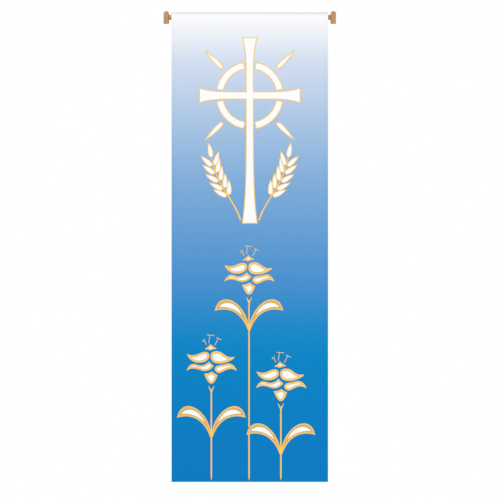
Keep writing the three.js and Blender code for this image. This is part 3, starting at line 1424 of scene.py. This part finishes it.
def block_ring(half_x, half_y, corner, centre_x, z):
    """A level rounded rectangle of a block."""
    radius = min(corner, half_x, half_y)
    ring = []
    for quarter in range(4):
        across = math.pi / 2 * (quarter + 0.5)
        corner_x = math.copysign(half_x - radius, math.cos(across))
        corner_y = math.copysign(half_y - radius, math.sin(across))
        for i in range(CORNER_STEPS + 1):
            angle = math.pi / 2 * (quarter + i / CORNER_STEPS)
            x = corner_x + radius * math.cos(angle)
            ring.append((centre_x + x, corner_y + radius * math.sin(angle), z))
    return ring


def block_mesh(node, wood):
    """An end block: half-round on top seen from the front, flat below, with a socket for the rod."""
    low, high = BLOCK_BOXES[node]
    half_x, half_y = (high.x - low.x) / 2, (high.y - low.y) / 2
    springing = high.z - half_x
    sizes = [
        (half_x - inset * BEVEL_SIZE, half_y - inset * BEVEL_SIZE, low.z + rise * BEVEL_SIZE)
        for inset, rise in BLOCK_BEVEL
    ]
    sizes.append((half_x, half_y, springing))
    for i in range(1, BROW_STEPS + 1):
        angle = math.pi / 2 * i / BROW_STEPS
        z = springing + half_x * math.sin(angle)
        over = max(0.0, z - (high.z - wood.brow_radius)) / wood.brow_radius
        y = half_y - wood.brow_radius * (1.0 - math.sqrt(max(0.0, 1.0 - over**2)))
        sizes.append((max(NARROWEST_HALF, half_x * math.cos(angle)), y, z))
    centre_x = (low.x + high.x) / 2
    rings = [block_ring(x, y, wood.edge_radius, centre_x, z) for x, y, z in sizes]
    return with_socket(ringed_mesh(rings, BLOCK_EDGE), node, wood)


def with_socket(solid, node, wood):
    """The block with the round blind socket that the rod's end fills."""
    side = 1.0 if BLOCK_BOXES[node][0].x > 0 else -1.0
    mouth = side * (CLOTH_HIGH.x + BLOCK_GAP - SOCKET_CLEAR)
    bottom = side * (ROD_HIGH.x + SOCKET_GAP)
    radius = wood.neck_radius + SOCKET_GAP
    cutter = placed("socket_cutter", turned_mesh([(radius, mouth), (radius, bottom)]))
    block = placed("block_blank", solid)
    cut = block.modifiers.new("socket", "BOOLEAN")
    cut.operation = "DIFFERENCE"
    cut.solver = "EXACT"
    cut.object = cutter
    mesh = evaluated_mesh(block)
    for item in (cutter, block):
        bpy.data.objects.remove(item)
    return smoothed(mesh, BLOCK_EDGE)


# Operators


class BANNER_OT_cloth(bpy.types.Operator):
    """Make the cloth, with its rod pocket and hems"""

    bl_idname = "banner.cloth"
    bl_label = "Cloth"

    def execute(self, context):
        cloth = context.scene.banner_cloth
        finished_object("banner_sheet", cloth_mesh(cloth), [cloth_finish(cloth)], ["banner_cloth"])
        return {"FINISHED"}


class BANNER_OT_embroidery(bpy.types.Operator):
    """Work the lilies and the ornament on the cloth"""

    bl_idname = "banner.embroidery"
    bl_label = "Embroidery"

    def execute(self, context):
        cloth = context.scene.banner_cloth
        thread = context.scene.banner_thread
        white = fill_finish("white_fill_stitches", thread.white_colour)
        body = fill_finish("old_gold_fill_stitches", thread.old_gold_colour)
        gold = stitch_finish("gold_satin_stitches", thread.gold_colour)
        edging = stitch_finish("old_gold_satin_stitches", thread.old_gold_colour)
        self.front = Face(-cloth.thickness, -1.0)
        self.back = Face(0.0, 1.0)
        self.plan = stitch_plan(thread.thread, thread.border_rise, FULL_HALF, thread.slant, thread.seed)
        for motif in motifs():
            self.work_white(motif, thread, white)
            self.work_gold(motif, thread, [body, gold, edging, white])
        return {"FINISHED"}

    def work_white(self, motif, thread, white):
        build = bmesh.new()
        for band in motif.white:
            loft(build, band, self.front, 0.0, thread.fill_rise, rows=True)
            loft(build, band, self.back, 0.0, thread.back_rise)
        for band in motif.crest:
            lift, rise = thread.fill_rise * CREST_LIFT, thread.fill_rise * CREST_RISE
            loft(build, band, self.front, lift, rise, rows=True)
        finished_object(motif.name + "_white", mesh_of(build, SOFT_EDGE), [white])

    def work_gold(self, motif, thread, materials):
        """The gold areas and lines; behind, the white bobbin thread shows along each line's middle."""
        body, gold, edging, bobbin = range(4)
        build = bmesh.new()
        for band in motif.body:
            loft(build, band, self.front, 0.0, thread.fill_rise, body, rows=True)
            loft(build, band, self.back, 0.0, thread.back_rise, bobbin)
        stitched = (
            (motif.lines, thread.fill_rise * BORDER_LIFT, gold, thread.pitch),
            (motif.edging, thread.fill_rise * EDGING_LIFT, edging, thread.pitch * EDGING_PITCH),
        )
        for lines, lift, index, pitch in stitched:
            rungs = []
            for satin in lines:
                own = rungs_of(satin, pitch)
                rungs += own
                padding = Band(*zip(*(own[:-1:PADDING_EVERY] + own[-1:])))
                loft(build, padding, self.front, lift, thread.border_rise * PADDING_RISE, index)
                loft(build, padding, self.back, BACK_LIFT, thread.back_rise, index, bobbin)
            if rungs:
                raised = Face(self.front.y + self.front.out * lift, self.front.out)
                add_mesh(build, stitched_mesh(rungs, raised, self.plan, materials[index]), index)
        finished_object(motif.name + "_gold", mesh_of(build, THREAD_SHARP), materials)


class BANNER_OT_sewing(bpy.types.Operator):
    """Sew the pocket and the hems"""

    bl_idname = "banner.sewing"
    bl_label = "Sewing"

    def execute(self, context):
        cloth = context.scene.banner_cloth
        thread = context.scene.banner_thread
        seams = seam_lines(cloth)
        half_level = CLOTH_HIGH.x - SEAM_END_INSET

        def level(height):
            return seam(Vector((-half_level, height)), Vector((half_level, height)), thread)

        top, bottom = seams.pocket_lower - SIDE_SEAM_TOP, CLOTH_LOW.z + SIDE_SEAM_FOOT
        side_x = CLOTH_HIGH.x - seams.side
        left, right = (seam(Vector((x, top)), Vector((x, bottom)), thread) for x in (-side_x, side_x))
        pocket = level(seams.pocket_upper) + level(seams.pocket_lower)
        hem = level(seams.hem)
        seam_faces = (
            (-cloth.thickness + SEAM_DIP, -1.0, pocket + hem + left + right),
            (2 * cloth.thickness + FOLD_GAP - SEAM_DIP, 1.0, pocket),
            (2 * cloth.thickness - SEAM_DIP, 1.0, hem),
            (cloth.thickness - SEAM_DIP, 1.0, left + right),
        )
        plan = stitch_plan(thread.seam_thread, SEAM_RISE, thread.seam_stitch / 2, 0.0, thread.seed)
        material = sewing_finish(cloth)
        build = bmesh.new()
        for y, out, rungs in seam_faces:
            add_mesh(build, stitched_mesh(rungs, Face(y, out), plan, material), 0)
        finished_object("seam_stitches", mesh_of(build, THREAD_SHARP), [material])
        return {"FINISHED"}


class BANNER_OT_rod(bpy.types.Operator):
    """Turn the rod"""

    bl_idname = "banner.rod"
    bl_label = "Rod"

    def execute(self, context):
        wood = context.scene.banner_wood
        material = wood_finish("rod_beech", wood.rod_colour, grain_axis=0)
        finished_object("turned_rod", rod_mesh(wood), [material], ["rod"])
        return {"FINISHED"}


class BANNER_OT_blocks(bpy.types.Operator):
    """Shape the two end blocks"""

    bl_idname = "banner.blocks"
    bl_label = "End Blocks"

    def execute(self, context):
        wood = context.scene.banner_wood
        material = wood_finish("block_beech", wood.block_colour, grain_axis=2)
        for node in BLOCK_NODES:
            finished_object("shaped_" + node, block_mesh(node, wood), [material], [node])
        return {"FINISHED"}


class BANNER_OT_declare(bpy.types.Operator):
    """Work out the size that the cloth was cut to; nothing uses it"""

    bl_idname = "banner.declare"
    bl_label = "Cloth Facts"

    def execute(self, context):
        cloth = context.scene.banner_cloth
        width = CLOTH_WIDTH + 2 * cloth.side_hem
        cut = (width, Route(cloth).total + (cloth.seam_band + 2 * cloth.bottom_hem))
        return {"FINISHED"}


Lamp = namedtuple("Lamp", "name place size share")
LAMPS = (
    Lamp("key", (-2.6, -4.4, 1.8), 2.4, 1.0),
    Lamp("fill", (3.0, -4.2, -1.75), 2.6, 0.8),
    Lamp("back_left", (-2.6, 3.8, 1.0), 2.2, 0.7),
    Lamp("back_right", (2.8, 3.6, -0.4), 2.2, 0.5),
)
AIM_X = 0.8 * MM
SENSOR_WIDTH = 36.0
FLOOR_THICKNESS = 20 * MM
FLOOR_EDGE = 4 * MM
FLOOR_SIDES = 128


class BANNER_OT_stage(bpy.types.Operator):
    """Set the camera, the lights, the background and the floor"""

    bl_idname = "banner.stage"
    bl_label = "Stage"

    def execute(self, context):
        stage = context.scene.banner_stage
        self.set_camera(context.scene, stage)
        self.set_world(context.scene, stage)
        self.set_lights(stage)
        self.lay_floor(stage)
        return {"FINISHED"}

    @staticmethod
    def set_camera(scene, stage):
        data = bpy.data.cameras.new("camera")
        data.sensor_width = SENSOR_WIDTH
        data.lens = data.sensor_width * stage.camera_distance / stage.view_width
        camera = placed("camera", data)
        camera.location = (AIM_X, -stage.camera_distance, -stage.aim_height)
        camera.rotation_euler = (math.pi / 2, 0.0, 0.0)
        scene.camera = camera
        scene.view_settings.view_transform = "Standard"

    @staticmethod
    def set_world(scene, stage):
        """A white background that lights the banner less brightly than it shows."""
        world = bpy.data.worlds.new("studio")
        world.use_nodes = True
        world.node_tree.nodes.clear()
        graph = Graph(world.node_tree)
        seen = graph.node("ShaderNodeLightPath")
        shed, shown = (
            graph.node("ShaderNodeBackground", inputs={"Color": WHITE, "Strength": strength})
            for strength in (stage.ambient, 1.0)
        )
        both = graph.node("ShaderNodeMixShader", inputs={0: seen, 1: shed, 2: shown})
        out = world.node_tree.nodes.new("ShaderNodeOutputWorld")
        graph.plug(out.inputs["Surface"], both)
        scene.world = world

    @staticmethod
    def set_lights(stage):
        middle = Vector((0.0, 0.0, -stage.aim_height))
        for lamp in LAMPS:
            data = bpy.data.lights.new(lamp.name, "AREA")
            data.size = lamp.size
            data.energy = stage.key_power * lamp.share
            light = placed(lamp.name, data)
            light.location = lamp.place
            light.rotation_euler = (middle - light.location).to_track_quat("-Z", "Y").to_euler()

    @staticmethod
    def lay_floor(stage):
        top = CLOTH_LOW.z - stage.floor_drop
        profile = (
            (stage.floor_radius, top - FLOOR_THICKNESS),
            (stage.floor_radius, top - FLOOR_EDGE),
            (stage.floor_radius - FLOOR_EDGE, top),
        )
        mesh = ringed_mesh([[(x, y, z) for x, y in circle(radius, FLOOR_SIDES)] for radius, z in profile])
        mesh.materials.append(floor_finish())
        placed("floor", mesh)


OPERATORS = (
    BANNER_OT_stage,
    BANNER_OT_rod,
    BANNER_OT_blocks,
    BANNER_OT_cloth,
    BANNER_OT_embroidery,
    BANNER_OT_sewing,
    BANNER_OT_declare,
)


class BANNER_PT_panel(bpy.types.Panel):
    """Lists the banner's operators and settings"""

    bl_label = "Church Banner"
    bl_idname = "BANNER_PT_panel"
    bl_space_type = "VIEW_3D"
    bl_region_type = "UI"
    bl_category = "Banner"

    def draw(self, context):
        for operator in OPERATORS:
            self.layout.operator(operator.bl_idname)
        for name in SETTINGS:
            settings = getattr(context.scene, name)
            box = self.layout.box()
            for key in settings.bl_rna.properties.keys():
                if key not in ("rna_type", "name"):
                    box.prop(settings, key)


CLASSES = (*SETTINGS.values(), *OPERATORS, BANNER_PT_panel)


def register():
    for each in CLASSES:
        bpy.utils.register_class(each)
    for name, group in SETTINGS.items():
        setattr(bpy.types.Scene, name, PointerProperty(type=group))


def unregister():
    for name in SETTINGS:
        delattr(bpy.types.Scene, name)
    for each in reversed(CLASSES):
        bpy.utils.unregister_class(each)


def main():
    register()
    for operator in OPERATORS:
        getattr(bpy.ops.banner, operator.bl_idname.split(".")[1])()


if __name__ == "__main__":
    main()
